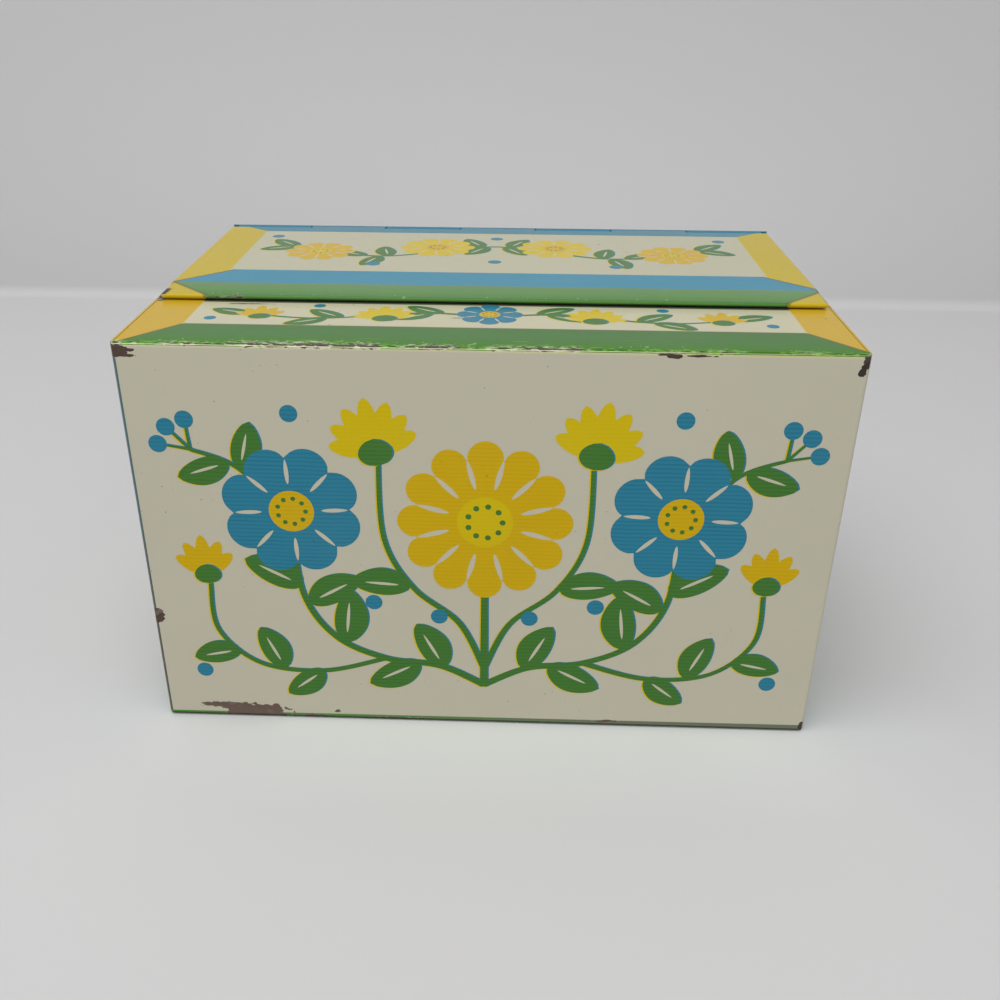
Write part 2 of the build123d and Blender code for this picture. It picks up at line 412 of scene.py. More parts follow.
def finish_tin(shader, print_colour, inside=None, gloss=None, shade_mask=None):
    """Wear, gloss and relief of printed tinplate over a colour.

    Inside marks lacquered bare faces, and the last mask, if given, lays painted shade over print
    and steel alike.
    """
    scene = bpy.context.scene
    colours = scene.tin_colours
    wear = scene.tin_wear
    ragged = shader.noise(1.2, detail=4.0, seed=3.0, stretch=(0.7, 1.0, 1.3))
    field = chip_field(shader) + (ragged - 0.5) * (wear.ragged * 2)
    chip = field > 0.0
    rim = (field > -wear.rim) & ~chip
    # specks come in clusters
    specks = shader.noise(0.7, detail=1.0, seed=11.0)
    cluster = shader.noise(16.0, detail=1.0, seed=23.0)
    cluster_share = 0.22
    speck = specks + cluster * cluster_share > wear.speck_share + cluster_share / 2
    # uneven varnish, and dust lying in it
    cloud = shader.noise(28.0, detail=3.0, seed=5.0)
    grain = shader.noise(0.35, detail=2.0, seed=7.0)
    tint = (cloud - 0.5) * 0.12 + (grain - 0.5) * 0.06
    colour = shader.mix(tint.at_least(0.0), print_colour, DUST)
    colour = shader.mix((tint * -0.35).at_least(0.0), colour, PALE_VARNISH)
    rust = shader.noise(0.9, detail=3.0, seed=17.0)
    steel = shader.mix(rust, colours.bare, RUSTED)
    scoured = shader.noise(1.6, detail=3.0, seed=19.0, stretch=(0.5, 1.0, 1.0)) > 0.6
    steel = shader.mix(scoured * 0.7, steel, SCOURED)
    # the steel is lighter by the foot, and the right end of the tin has darkened more
    steel = shader.mix(shader.z.near(14.0) * 0.7, steel, FOOT_STEEL)
    steel = shader.mix(shader.x.rise(0.0, 70.0) * 0.75, steel, DARK_STEEL)
    colour = shader.mix(rim * 0.3, colour, colours.primer)
    colour = shader.mix(speck * 0.7, colour, colours.bare)
    colour = shader.mix(chip, colour, steel)
    # painted shade over print and steel alike
    if shade_mask is not None:
        colour = shader.mix(shade_mask, colour, CONTACT_SHADE)
    polished, cloudy, chipped, tinned = 0.16, 0.30, 0.58, 0.36
    rough = shader.blend(chip, shader.blend(cloud, polished, cloudy), chipped)
    if inside is not None:
        streak = shader.noise(2.0, detail=3.0, seed=31.0, stretch=(0.12, 1.0, 1.0))
        tin = shader.mix(streak, colours.lacquer, RUBBED_TIN)
        colour = shader.mix(inside, colour, tin)
        rough = shader.blend(inside, rough, tinned)
        shader.set(Metallic=inside * 0.85)
    if gloss is None:
        gloss = varnish(shader)
    shader.set(Base_Color=colour, Roughness=rough, IOR=1.42, Specular_IOR_Level=gloss)
    dents = shader.noise(9.0, seed=2.0)
    shader.bump(dents + grain * 0.10 - chip * 0.9, PRINT_RELIEF)
    return shader.material


def ink_lines(shader, colour, depth):
    """Fine level lines and mottling in a solid ink."""
    pitch = bpy.context.scene.tin_print.line_pitch
    on_side = abs(shader.x) > HALF_WIDTH - 0.05
    height = (shader.y & ~on_side) + shader.z
    waver = shader.noise(6.0, seed=41.0) * 0.5
    wave = shader.math("SINE", (height + waver) * (math.tau / pitch))
    broken = shader.noise(3.0, detail=3.0, seed=43.0, stretch=(0.3, 1.0, 1.0))
    return shader.mix(wave.at_least(0.0) * broken * depth, colour, tinted(colour, 0.35))


def pale_specks(shader, colour, worn):
    """Pale specks of worn ink and painted glints on small dents, from 0 for sound to 1 for worn.
    """
    glint = shader.noise(0.9, detail=3.0, seed=91.0, stretch=(0.7, 0.8, 1.0))
    specks = glint - ~worn * 0.25 > 0.635
    return shader.mix(specks * 0.55, colour, srgb(196, 214, 170))


def deep_fold(shader, green, from_front):
    """The green band, with painted shade that deepens it towards the front fold, where pale specks
    of worn ink and painted glints lie.
    """
    # painted shade: the green deeper and darker towards the front fold
    deep = shader.mix(from_front.near(6.5) * 0.85, green, srgb(64, 128, 8))
    deep = shader.mix(from_front.near(1.4) * 0.7, deep, srgb(44, 100, 4))
    deep = pale_specks(shader, deep, abs(from_front - 2.2).near(3.6))
    hair = shader.noise(0.8, detail=2.0, seed=71.0, stretch=(0.06, 1.0, 1.0))
    scratch = (hair > 0.70) & from_front.near(9.0)
    return shader.mix(scratch * 0.5, deep, srgb(170, 200, 130))


def fold_wear(shader, colour, from_front, from_top):
    """Ragged wear along the front fold: bright streaks of thin green, primer and steel."""
    slow = shader.noise(7.0, detail=1.0, seed=97.0, stretch=(1.0, 0.2, 0.2))
    level = (slow - 0.5) * 0.5
    for left, right, more in WORN_STRETCHES:
        level += ((shader.x > left) & (shader.x < right)) * more
    reach = from_front * 0.45 + from_top * 1.6
    level -= reach * 0.34
    leftward = shader.blend(shader.x < 17.0, 0.45, 1.0)
    for seed, limit, share, shade, where in (
        (93.0, 0.33, 0.45, srgb(122, 184, 56), from_top < 0.45),
        (99.0, 0.44, 0.65, srgb(212, 207, 184), leftward),
        (95.0, 0.47, 0.9, srgb(66, 54, 46), 1.0),
    ):
        fine = shader.noise(0.5, detail=3.0, seed=seed, stretch=(0.35, 1.0, 1.0))
        patch = (fine + level > limit) * where
        colour = shader.mix(patch * share, colour, shade)
    return colour


def band_edge(distance, half_width=0.55):
    """A dark hairline where two inks overlap, from the distance to their border."""
    return (abs(distance) < half_width) * 0.65


def mitred_border(shader, from_ends, end_ink, level_ink):
    """A cream panel in a mitred border, from the distance to its upright ends."""
    scene = bpy.context.scene
    band = scene.tin_print.side_band
    from_level = shader.math("MINIMUM", LEDGE - shader.z, shader.z)
    in_end = (from_ends < band) & (from_ends < from_level)
    in_level = (from_level < band) & (from_level < from_ends)
    panel = shader.mix(in_end, scene.tin_colours.cream, end_ink)
    return shader.mix(in_level, panel, level_ink)


# ---- tin materials
def body_material():
    """Print of the body: cream front, bands on the ledge and round the sides, green foot."""
    scene = bpy.context.scene
    colours = scene.tin_colours
    sizes = scene.tin_print
    shader = Shader("printed_body")
    from_edge = HALF_WIDTH - abs(shader.x - sizes.shift)
    from_front = shader.y - FRONT
    from_top = LEDGE - shader.z
    green = ink_lines(shader, colours.green, SOLID_LINES)
    blue = ink_lines(shader, colours.blue, SOLID_LINES)
    yellow = ink_lines(shader, colours.border, YELLOW_LINES)

    # the ledge, with the green band turned over the front fold
    mitre = from_edge * (sizes.ledge_band / sizes.side_band) - from_front
    in_mitre = mitre > 0.0
    near_front = from_front < sizes.ledge_band
    ledge_cream = tinted(colours.cream, *LEDGE_CREAM)
    top = shader.mix(from_edge < sizes.side_band, ledge_cream, yellow)
    top = shader.mix(near_front & in_mitre, top, deep_fold(shader, green, from_front))
    top = shader.mix(band_edge(mitre) & near_front, top, OVERPRINT)
    rear_edge = band_edge(from_front - sizes.ledge_band, 0.35)
    top = shader.mix(rear_edge & in_mitre, top, OVERPRINT)
    # the ledge's print turns a little way down over its folds
    on_top = from_top < 0.4
    colour = shader.mix(on_top, colours.cream, top)
    below_fold = (from_top < 0.65) & ~on_top
    show = shader.blend(shader.x.rise(-40.0, 40.0), 0.15, 0.6)
    colour = shader.mix(below_fold * show, colour, srgb(186, 190, 84))
    colour = fold_wear(shader, colour, from_front, from_top)
    # painted shade of the gap under the lip: a dark green line where the lip rests on the ledge
    lip_gap_shade = (from_front > LIP - FRONT - 0.6) & (from_edge > sizes.side_band) & on_top
    colour = shader.mix(lip_gap_shade * 0.85, colour, SHADE_GREEN)

    # the sides: a mitred border of the same inks round a cream panel
    fold_reach = 0.75
    left_fold = shader.x < fold_reach - HALF_WIDTH
    right_wall = shader.x > HALF_WIDTH - 0.03
    on_side = (left_fold | right_wall) & ~on_top
    from_ends = shader.math("MINIMUM", from_front, BACK - shader.y)
    panel = mitred_border(shader, from_ends, blue, green)
    on_fold = left_fold & (from_front < 0.8)
    fold_ink = shader.mix(shader.z.rise(18.0, 53.0), srgb(92, 92, 78), srgb(80, 114, 120))
    panel = shader.mix(on_fold, panel, fold_ink)
    colour = shader.mix(on_side, colour, panel)
    fold_line = band_edge(shader.x - (fold_reach + 0.03 - HALF_WIDTH), 0.12) & on_fold
    colour = shader.mix(fold_line, colour, DARK_BLUE)

    # the foot, where the front's print ends askew
    skew = (shader.x + HALF_WIDTH) * 0.004
    foot = shader.z - skew < sizes.foot_band
    # greyer towards the right end: a painted highlight on the foot's fold
    foot_green = shader.mix(shader.x.rise(20.0, -40.0), srgb(110, 119, 97), srgb(74, 138, 50))
    colour = shader.mix(foot, colour, foot_green)
    # painted shade: the foot's fold darkens below 0.85 mm and is darkest under 0.75 mm, where a
    # contact shadow falls
    shade_mask = shader.z.rise(0.85, 0.75) * (shader.z > 0.0) * 0.85
    within = abs(shader.x) < HALF_WIDTH - HALF_SHEET
    behind = (from_front > HALF_SHEET) & (from_top > HALF_SHEET) & (shader.z > HALF_SHEET)
    # the varnish has worn off the ledge's front
    gloss = shader.blend(on_top & from_front.near(6.0), varnish(shader), 0.1)
    return finish_tin(shader, colour, within & behind, gloss, shade_mask)


def lid_material():
    """Print of the lid: mitred bands round a cream panel, green lip with yellow ends."""
    scene = bpy.context.scene
    colours = scene.tin_colours
    sizes = scene.tin_print
    shader = Shader("printed_lid")
    from_side = LID_HALF - abs(shader.x - sizes.shift)
    from_fold = shader.y - (LIP + sizes.lip_run)
    from_rear = LID_HIGH.y - shader.y
    green = ink_lines(shader, colours.green, SOLID_LINES)
    blue = ink_lines(shader, tinted(colours.blue, 1.22), SOLID_LINES)
    rear_blue = shader.mix(0.35, blue, srgb(88, 112, 104))
    yellow = ink_lines(shader, tinted(colours.yellow, 0.88), YELLOW_LINES)

    front_mitre = from_side - from_fold
    rear_mitre = from_side * (sizes.rear_band / sizes.side_band) - from_rear
    near_fold = from_fold < sizes.lid_band
    near_rear = from_rear < sizes.rear_band
    lid_cream = tinted(colours.cream, *LID_CREAM)
    top = shader.mix(from_side < sizes.side_band, lid_cream, yellow)
    top = shader.mix(near_fold & (front_mitre > 0.0), top, blue)
    top = shader.mix(near_rear & (rear_mitre > 0.0), top, rear_blue)
    top = shader.mix(band_edge(front_mitre) & near_fold, top, OVERPRINT)

    # the lip's painted light: a pale painted reflection by the fold, a brighter green midway,
    # deeper green low down, and painted shade towards its roll
    lip_mitre = from_side + from_fold
    on_end = lip_mitre < 0.0
    lip = shader.mix(from_fold.rise(-6.0, 0.0) * 0.34, green, srgb(140, 172, 132))
    lip = shader.mix(abs(from_fold + 5.2).near(4.5) * 0.2, lip, srgb(115, 191, 56))
    lip = pale_specks(shader, lip, abs(from_fold + 8.3).near(1.8))
    lip = shader.mix(on_end, lip, yellow)
    lip = shader.mix(band_edge(lip_mitre), lip, OVERPRINT)
    over_ledge = shader.z - LEDGE
    # painted shade: a deeper green on the lower lip, clear of its yellow ends
    deep_lower_lip = (over_ledge < 1.05) & ~on_end
    lip = shader.mix(deep_lower_lip * 0.5, lip, srgb(84, 144, 48))
    # painted shade on the roll's underside: dark green under the green, shaded yellow under the
    # ends
    shade = shader.mix(on_end, SHADE_GREEN, SHADED_YELLOW)
    lip = shader.mix(over_ledge.rise(0.70, 0.58) * 0.9, lip, shade)
    colour = shader.mix(from_fold < 0.0, top, lip)
    colour = shader.mix(abs(shader.x) > LID_HALF - 0.15, colour, yellow)
    within = (abs(shader.x) < LID_HALF - HALF_SHEET) & (shader.z < LID_TOP - 0.22)
    behind = (shader.y > LIP + 0.7) & (shader.y < LID_HIGH.y - 1.2)
    return finish_tin(shader, colour, within & behind)


def back_material():
    """Print of the back: the side panels' border round cream, bare inside."""
    colours = bpy.context.scene.tin_colours
    shader = Shader("printed_back")
    green = ink_lines(shader, colours.green, SOLID_LINES)
    yellow = ink_lines(shader, colours.border, YELLOW_LINES)
    colour = mitred_border(shader, HALF_WIDTH - abs(shader.x), yellow, green)
    rim = shader.z > LEDGE
    colour = shader.mix(rim, colour, colours.blue)
    inside = (shader.y < BACK - HALF_SHEET) & (shader.z > HALF_SHEET) & ~rim
    return finish_tin(shader, colour, inside)


def hinge_material():
    """The hinge strip: bare below, with the blue of the back's rim on its knuckles."""
    shader = Shader("printed_hinge")
    blue = ink_lines(shader, bpy.context.scene.tin_colours.blue, 0.2)
    return finish_tin(shader, blue, shader.z < LEDGE - 2.0)


def foot_material():
    """Green enamel under the bottom plate, bare tinplate on top of it."""
    shader = Shader("green_foot")
    green = ink_lines(shader, bpy.context.scene.tin_colours.green, SOLID_LINES)
    return finish_tin(shader, green, shader.z > 0.6, UPRIGHT_GLOSS)


def bare_material(name, colour, streak_along):
    """Unprinted metal with drawn or rolled streaks."""
    shader = Shader(name)
    streak = shader.noise(0.5, detail=3.0, seed=51.0, stretch=streak_along)
    spot = shader.noise(2.2, detail=4.0, seed=53.0)
    metal = shader.mix(streak, colour, tinted(colour, 1.45))
    metal = shader.mix((spot > 0.62) * 0.5, metal, srgb(96, 74, 58))
    shader.set(Base_Color=metal, Roughness=shader.blend(streak, 0.26, 0.48), Metallic=0.9)
    shader.bump(streak, FINE_RELIEF)
    return shader.material


def ink_material(name, colour, line_depth):
    """A printed ink, worn with the tin it lies on."""
    shader = Shader(name)
    return finish_tin(shader, ink_lines(shader, colour, line_depth))


# ---- prints
class Face:
    """A flat face to print on, with places across and up it in millimetres."""

    def __init__(self, origin, across, up):
        self.origin = Vector(origin)
        self.across = Vector(across)
        self.up = Vector(up)
        self.out = self.across.cross(self.up)

    def point(self, u, v, height):
        """A place in metres, at a height over the face."""
        return (self.origin + self.across * u + self.up * v + self.out * height) * MM


def signed_area(outline):
    """Twice the area of an outline, over 0 if it runs anticlockwise."""
    pairs = zip(outline, outline[1:] + outline[:1])
    return sum(a[0] * b[1] - b[0] * a[1] for a, b in pairs)


def away(u, v, reach, angle):
    """The place at a reach and an angle from another."""
    return u + reach * math.cos(angle), v + reach * math.sin(angle)


def turned(side, degrees):
    """A direction, mirrored for the left side."""
    return degrees if side > 0 else 180 - degrees


def curve_at(t, a, b, c, d):
    """One part of a place between b and c, on a smooth curve that comes from a and goes to d."""
    square = (2 * a - 5 * b + 4 * c - d) * t * t
    cube = (3 * b - a - 3 * c + d) * t**3
    return 0.5 * (2 * b + (c - a) * t + square + cube)


def smooth_path(points, steps=10):
    """A smooth line through points."""
    ends = [points[0], *points, points[-1]]
    path = []
    for corners in zip(ends, ends[1:], ends[2:], ends[3:]):
        for step in range(steps):
            path.append(tuple(curve_at(step / steps, *parts) for parts in zip(*corners)))
    return [*path, points[-1]]


def crosses(first, second):
    """Whether two extents meet, each from left to right and from low to high."""
    across = first[0] < second[1] and second[0] < first[1]
    return across and first[2] < second[3] and second[2] < first[3]


def add_piece(name, sheet, materials):
    """Adds the faces drawn so far to the scene as one object."""
    mesh = bpy.data.meshes.new(name)
    sheet.to_mesh(mesh)
    sheet.free()
    for material in materials:
        mesh.materials.append(material)
    piece = bpy.data.objects.new(name, mesh)
    bpy.context.scene.collection.objects.link(piece)
    return piece


class Design:
    """Outlines of ink for one printed face. Later outlines lie over earlier ones."""

    INKS = ("blue", "green", "gold", "yellow", "cream")

    def __init__(self, slip):
        self.shapes = []
        self.slip = slip

    def add(self, ink, outline, layer):
        """One solid shape of ink."""
        if signed_area(outline) < 0:
            outline = outline[::-1]
        self.shapes.append((ink, outline, layer))

    def green(self, outline, layer=2):
        """Green is printed as yellow and blue, which show a little out of register."""
        for ink, side, below in (("yellow", -1, 2), ("blue", 1, 1)):
            moved = [(u + side * self.slip, v + side * self.slip * 0.4) for u, v in outline]
            self.add(ink, moved, layer - below)
        self.add("green", outline, layer)

    def dot(self, ink, u, v, radius, layer=3, count=22):
        """A round spot."""
        self.add(ink, [away(u, v, radius, math.tau * k / count) for k in range(count)], layer)

    def blossom(self, ink, u, v, radius, petals, notch, turn=0.0, layer=3):
        """A flower of round petals."""
        outline = []
        count = petals * 14
        for k in range(count):
            a = math.tau * k / count
            lobe = abs(math.cos(petals * (a - turn) / 2)) ** 0.55
            outline.append(away(u, v, radius * (1 - notch * (1 - lobe)), a))
        self.add(ink, outline, layer)

    def blade(self, u, v, length, width, degrees, blunt=0.62, bend=0.0):
        """Outline of a leaf or petal that grows from a point."""
        a = math.radians(degrees)
        count = 16
        left, right = [], []
        for k in range(count + 1):
            t = k / count
            half = width / 2 * math.sin(math.pi * t**0.9) ** blunt
            middle = bend * math.sin(math.pi * t)
            for side, rail in ((1, left), (-1, right)):
                on, off = length * t, middle + side * half
                over = u + on * math.cos(a) - off * math.sin(a)
                rail.append((over, v + on * math.sin(a) + off * math.cos(a)))
        return left + right[-2:0:-1]

    def stem(self, points, start, end, layer=2):
        """A tapering stalk along a smooth line."""
        path = smooth_path(points)
        left, right = [], []
        for k, (u, v) in enumerate(path):
            a, b = path[max(k - 1, 0)], path[min(k + 1, len(path) - 1)]
            along = math.hypot(b[0] - a[0], b[1] - a[1])
            half = (start + (end - start) * k / (len(path) - 1)) / 2
            nu, nv = -(b[1] - a[1]) / along * half, (b[0] - a[0]) / along * half
            left.append((u + nu, v + nv))
            right.append((u - nu, v - nv))
        self.green(left + right[::-1], layer)

    def leaf(self, u, v, length, width, degrees, bend=0.0):
        """A round-shouldered leaf with a pale vein."""
        self.green(self.blade(u, v, length, width, degrees, bend=bend))
        start = away(u, v, length * 0.2, math.radians(degrees))
        self.add("cream", self.blade(*start, length * 0.56, width * 0.07 + 0.18, degrees), 3)

    def daisy(self, ink, eye, u, v, radius, petals, turn=0.0):
        """A round-petalled flower with pale slits, an eye and a ring of seeds."""
        self.blossom(ink, u, v, radius, petals, 0.22, turn)
        for k in range(petals):
            degrees = math.degrees(turn) + 360 * (k + 0.5) / petals
            start = away(u, v, radius * 0.42, math.radians(degrees))
            self.add("cream", self.blade(*start, radius * 0.38, radius * 0.06, degrees), 4)
        self.dot(eye, u, v, radius * 0.32, 5, 30)
        seeds = 9
        for k in range(seeds):
            seed = away(u, v, radius * 0.2, math.tau * k / seeds)
            self.dot("green", *seed, radius * 0.035, 6, 10)

    def palmette(self, ink, u, v, radius, degrees, fingers=7, spread=150.0):
        """A fan of rounded fingers on a green cup."""
        for k in range(fingers):
            off_middle = k / (fingers - 1) - 0.5
            lean = degrees + spread * off_middle
            length = radius * (1.0 - 0.18 * abs(off_middle) * 2)
            self.add(ink, self.blade(u, v, length, radius * 0.36, lean, blunt=0.5), 3 + k % 2)
        cup = away(u, v, radius * 0.3, math.radians(degrees + 180))
        self.green(self.blade(*cup, radius * 0.52, radius * 0.62, degrees, blunt=0.5), 7)

    def berries(self, u, v, radius, degrees, reach):
        """Three blue berries on short stalks."""
        for turn in (-38, 0, 38):
            tip = away(u, v, reach, math.radians(degrees + turn))
            self.stem([(u, v), tip], 0.55, 0.4)
            self.dot("blue", *tip, radius)

    def build(self, name, face, body):
        """Makes the printed piece: thin closed films of ink on a face."""
        ink_layer = bpy.context.scene.tin_print.ink_layer
        # the films start just inside the tin, so no gap shows under them
        sunk = -0.004
        sheet = bmesh.new()
        laid = []
        for ink, outline, _ in sorted(self.shapes, key=lambda shape: shape[2]):
            us, vs = zip(*outline)
            extent = (min(us), max(us), min(vs), max(vs))
            # each film lies on the films that it may cross
            level = 1 + max((below for other, below in laid if crosses(extent, other)), default=0)
            laid.append((extent, level))
            low = [sheet.verts.new(face.point(u, v, sunk)) for u, v in outline]
            high = [sheet.verts.new(face.point(u, v, ink_layer * level)) for u, v in outline]
            faces = [sheet.faces.new(high), sheet.faces.new(low[::-1])]
            for k in range(len(outline)):
                n = (k + 1) % len(outline)
                faces.append(sheet.faces.new((low[k], low[n], high[n], high[k])))
            for side in faces:
                side.material_index = self.INKS.index(ink)
        inks = [bpy.data.materials["ink_" + ink] for ink in self.INKS]
        piece = add_piece(name, sheet, inks)
        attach(piece, body)


def draw_front(design):
    """Scrolls from the foot, with daisies, fans, buds and berries, alike on both sides."""
    design.stem([(0, 9.5), (0, 26), (0, 44)], 1.6, 1.1)
    for side in (-1, 1):
        for points, start, end in (
            (((0, 10), (9, 14.5), (20, 16), (30, 21), (36, 31), (37, 46)), 1.5, 1.0),
            (((20, 16), (33, 12.5), (46, 14), (54, 22), (54.5, 33)), 1.1, 0.8),
            (((0, 14), (5, 25), (14, 33), (19.5, 44), (20, 61)), 1.2, 0.8),
            (((37, 46), (46, 58), (55, 62)), 0.9, 0.7),
        ):
            design.stem([(side * u, v) for u, v in points], start, end)
        for u, v, length, width, degrees, bend in (
            (8, 14, 12, 6.4, 62, 0.6),
            (13, 15.2, 12, 6.4, -28, -0.5),
            (28, 19.5, 13, 6.8, 96, 0.7),
            (36, 33, 12.5, 6.6, 28, 0.6),
            (35, 29, 12.0, 6.4, 150, -0.5),
            (33, 12.6, 10, 5.6, -38, -0.4),
            (41, 12.8, 11, 6.0, 66, 0.5),
            (50, 17.2, 10, 5.4, -12, 0.4),
            (14.5, 33.5, 12, 6.2, 4, 0.5),
            (46, 58, 10, 5.6, 104, 0.4),
            (48, 59.5, 10.5, 5.6, -18, -0.4),
        ):
            design.leaf(side * u, v, length, width, turned(side, degrees), bend * side)
        turn = math.radians(turned(side, 20))
        design.daisy("blue", "gold", side * 37, 49.5, 13.6, 8, turn)
        design.palmette("yellow", side * 20.5, 62.5, 10.5, turned(side, 80))
        design.palmette("gold", side * 54.8, 35.5, 8.4, turned(side, 86), 5, 110.0)
        design.berries(side * 55, 62, 1.75, turned(side, 48), 6.0)
        for u, v in ((9, 26.5), (22, 29.5), (36, 69.5), (58, 12.0)):
            design.dot("blue", side * u, v, 1.7)
    design.daisy("gold", "yellow", 0, 48, 16.8, 12)


def draw_ledge(design):
    """A row of fans and buds on a low vine, which runs on under the lid."""

    def vine(u):
        return 18.5 + 2.2 * math.sin(u / 7.2)

    design.daisy("blue", "gold", 0, 20.4, 6.4, 8)
    for side in (-1, 1):
        design.stem([(side * u, vine(u)) for u in range(5, 50, 6)], 0.9, 0.6)
        design.palmette("yellow", side * 20, 17.2, 7.6, turned(side, 86), 7, 150.0)
        design.palmette("gold", side * 44, 17.4, 6.6, turned(side, 84), 5, 120.0)
        for u, degrees in ((9, 32), (11, -30), (28, 36), (31, -28), (46, 20)):
            design.leaf(side * u, vine(u), 8.5, 4.0, turned(side, degrees), 0.3)
        design.dot("blue", side * 33.5, 24.5, 1.2)
        design.dot("blue", side * 53.0, 15.6, 1.2)


def draw_lid(design):
    """A running vine with round flowers in its bends."""
    sizes = bpy.context.scene.tin_print
    low = LIP + sizes.lip_run + sizes.lid_band - FRONT
    high = LID_HIGH.y - sizes.rear_band - FRONT
    middle = (low + high) / 2

    def vine(u):
        return middle + 5.0 * math.cos(u / 8.4)

    design.stem([(u, vine(u)) for u in range(-48, 49, 6)], 0.9, 0.9)
    for side in (-1, 1):
        design.daisy("yellow", "gold", side * 13.5, middle + 4.0, 8.6, 10)
        design.daisy("gold", "yellow", side * 40.0, middle - 1.0, 8.0, 10)
        for u, degrees in ((3, 62), (2, -58), (24, 78), (26, -70), (29, 30), (46, 46), (46, -24)):
            design.leaf(side * u, vine(u), 9.0, 4.6, turned(side, degrees), 0.3)
        design.dot("blue", side * 26.5, middle - 12.0, 1.5)
        design.dot("blue", side * 52.5, middle + 13.0, 1.5)
    design.dot("blue", 0, middle + 13.0, 1.5)
    design.dot("blue", 0, middle - 9.0, 1.5)


def draw_panel(design, middle, reach):
    """A small spray for the sides and the back, about a middle height."""
    design.stem([(0, middle - 22), (0, middle - 4)], 1.2, 1.0)
    for side in (-1, 1):
        bend = (side * reach * 0.45, middle - 15)
        design.stem([(0, middle - 20), bend, (side * reach * 0.8, middle - 2)], 1.0, 0.7)
        design.leaf(0, middle - 15, 11, 5.6, turned(side, 38), 0.4)
        design.leaf(*bend, 10, 5.4, turned(side, -14), 0.4)
        design.leaf(side * reach * 0.62, middle - 10.5, 10, 5.4, turned(side, 100), 0.4)
        design.palmette("yellow", side * reach * 0.82, middle, 8.4, turned(side, 72), 5, 120.0)
        design.dot("blue", side * reach * 0.5, middle + 12, 1.6)
        design.dot("blue", side * reach * 0.3, middle - 24, 1.6)
    design.daisy("blue", "gold", 0, middle + 4, 12.0, 10)


# ---- paper
def card_material():
    """Card stock with faint ruled lines on its broad faces."""
    colours = bpy.context.scene.tin_colours
    shader = Shader("card_stock")
    fibre = shader.noise(0.4, detail=4.0, seed=61.0)
    cloud = shader.noise(22.0, detail=2.0, seed=63.0)
    paper = shader.mix(fibre * 0.25, colours.card, srgb(196, 186, 158))
    paper = shader.mix(cloud * 0.20, paper, srgb(206, 192, 156))
    rule_pitch = 6.35
    phase = shader.math("FRACT", shader.z / rule_pitch)
    highest_rule, line_end = 66.0, 60.0
    line = (phase < 0.05) & (shader.z < highest_rule) & (abs(shader.x) < line_end)
    normal = shader.new("NewGeometry").outputs["Normal"]
    facing = abs(shader.split(normal)[1]) > 0.5
    paper = shader.mix((line & facing) * 0.7, paper, colours.rule)
    shader.set(Base_Color=paper, Roughness=shader.blend(fibre, 0.72, 0.9))
    shader.bump(fibre, FINE_RELIEF)
    return shader.material


def guide_material(number):
    """Tinted board of one guide card."""
    colours = bpy.context.scene.tin_colours
    tints = (colours.guide, srgb(186, 200, 168), srgb(176, 196, 204))
    tint = tints[number % len(tints)]
    shader = Shader(f"guide_board_{number}")
    fibre = shader.noise(0.5, detail=4.0, seed=71.0 + number)
    worn = shader.noise(7.0, detail=3.0, seed=73.0)
    board = shader.mix(fibre * 0.4, tint, tinted(tint, 0.78))
    tab_foot = 74.0
    handled = (shader.z > tab_foot) & worn
    board = shader.mix(handled * 0.5, board, srgb(150, 126, 92))
    shader.set(Base_Color=board, Roughness=shader.blend(fibre, 0.65, 0.85))
    shader.bump(fibre, PRINT_RELIEF)
    return shader.material


def dress(node, material):
    """Gives a node of the construction its material."""
    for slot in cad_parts[node].material_slots:
        slot.material = material


# ---- stage
def set_camera(scene):
    """The camera in the photograph's place."""
    stage = scene.tin_stage
    lens = bpy.data.cameras.new("camera")
    lens.lens = stage.lens
    lens.sensor_width = 36.0
    lens.shift_x, lens.shift_y = stage.off_centre
    lens.clip_start = 0.01
    camera = bpy.data.objects.new("camera", lens)
    camera.location = Vector(stage.eye) * MM
    camera.rotation_euler = Euler([math.radians(a) for a in stage.turn])
    scene.collection.objects.link(camera)
    scene.camera = camera


def stage_material(stage, cove):
    """Pale paint, with painted light: lightest on the wall behind the box and on the table round
    its foot.
    """
    shader = Shader("pale_stage")
    cloud = shader.noise(260.0, detail=2.0, seed=81.0)
    # an oval of painted light on the wall, with its reaches aside and up and its middle's height
    aside, up, middle = 330.0, 98.0, 42.0
    across = shader.x / aside
    above = (shader.z - middle) / up
    off_middle = shader.math("SQRT", across * across + above * above)
    wall = shader.mix(off_middle.near(1.0), stage.backdrop, srgb(219, 218, 218))
    # painted light that offsets the box's shadow: a patch ahead of the foot, a little to the
    # right, and a fainter one all round
    to_right, half_patch, ahead = 8.0, 48.0, 45.0
    forward = abs(shader.y - FRONT).near(ahead)
    beside = (abs(shader.x - to_right) - half_patch).near(50.0)
    beyond = (FRONT - shader.y) / 85.0
    outward = (abs(shader.x) - HALF_WIDTH) / 45.0
    around = beyond.at_least(outward).near(1.0)
    glow = (forward * forward * beside).at_least(around * 0.2)
    table = shader.mix(glow, stage.floor, srgb(228, 231, 227))
    paint = shader.mix(shader.z.rise(0.0, cove), table, wall)
    paint = shader.mix(cloud * 0.08, paint, srgb(188, 188, 192))
    shader.set(Base_Color=paint, Roughness=0.7)
    return shader.material


def set_backdrop(scene):
    """The table, with the wall that rises from it in a small cove."""
    stage = scene.tin_stage
    reach, height, cove = 1600.0, 1300.0, 5.0
    steps = 8
    profile = [(-reach, 0.0)]
    for k in range(steps + 1):
        a = math.radians(90 * k / steps)
        profile.append((stage.wall - cove + cove * math.sin(a), cove - cove * math.cos(a)))
    profile.append((stage.wall, height))
    sweep = bmesh.new()
    rows = [[sweep.verts.new(Vector((x, y, z)) * MM) for x in (-reach, reach)] for y, z in profile]
    for near, far in zip(rows, rows[1:]):
        sweep.faces.new((near[0], near[1], far[1], far[0])).smooth = True
    add_piece("backdrop", sweep, [stage_material(stage, cove)])


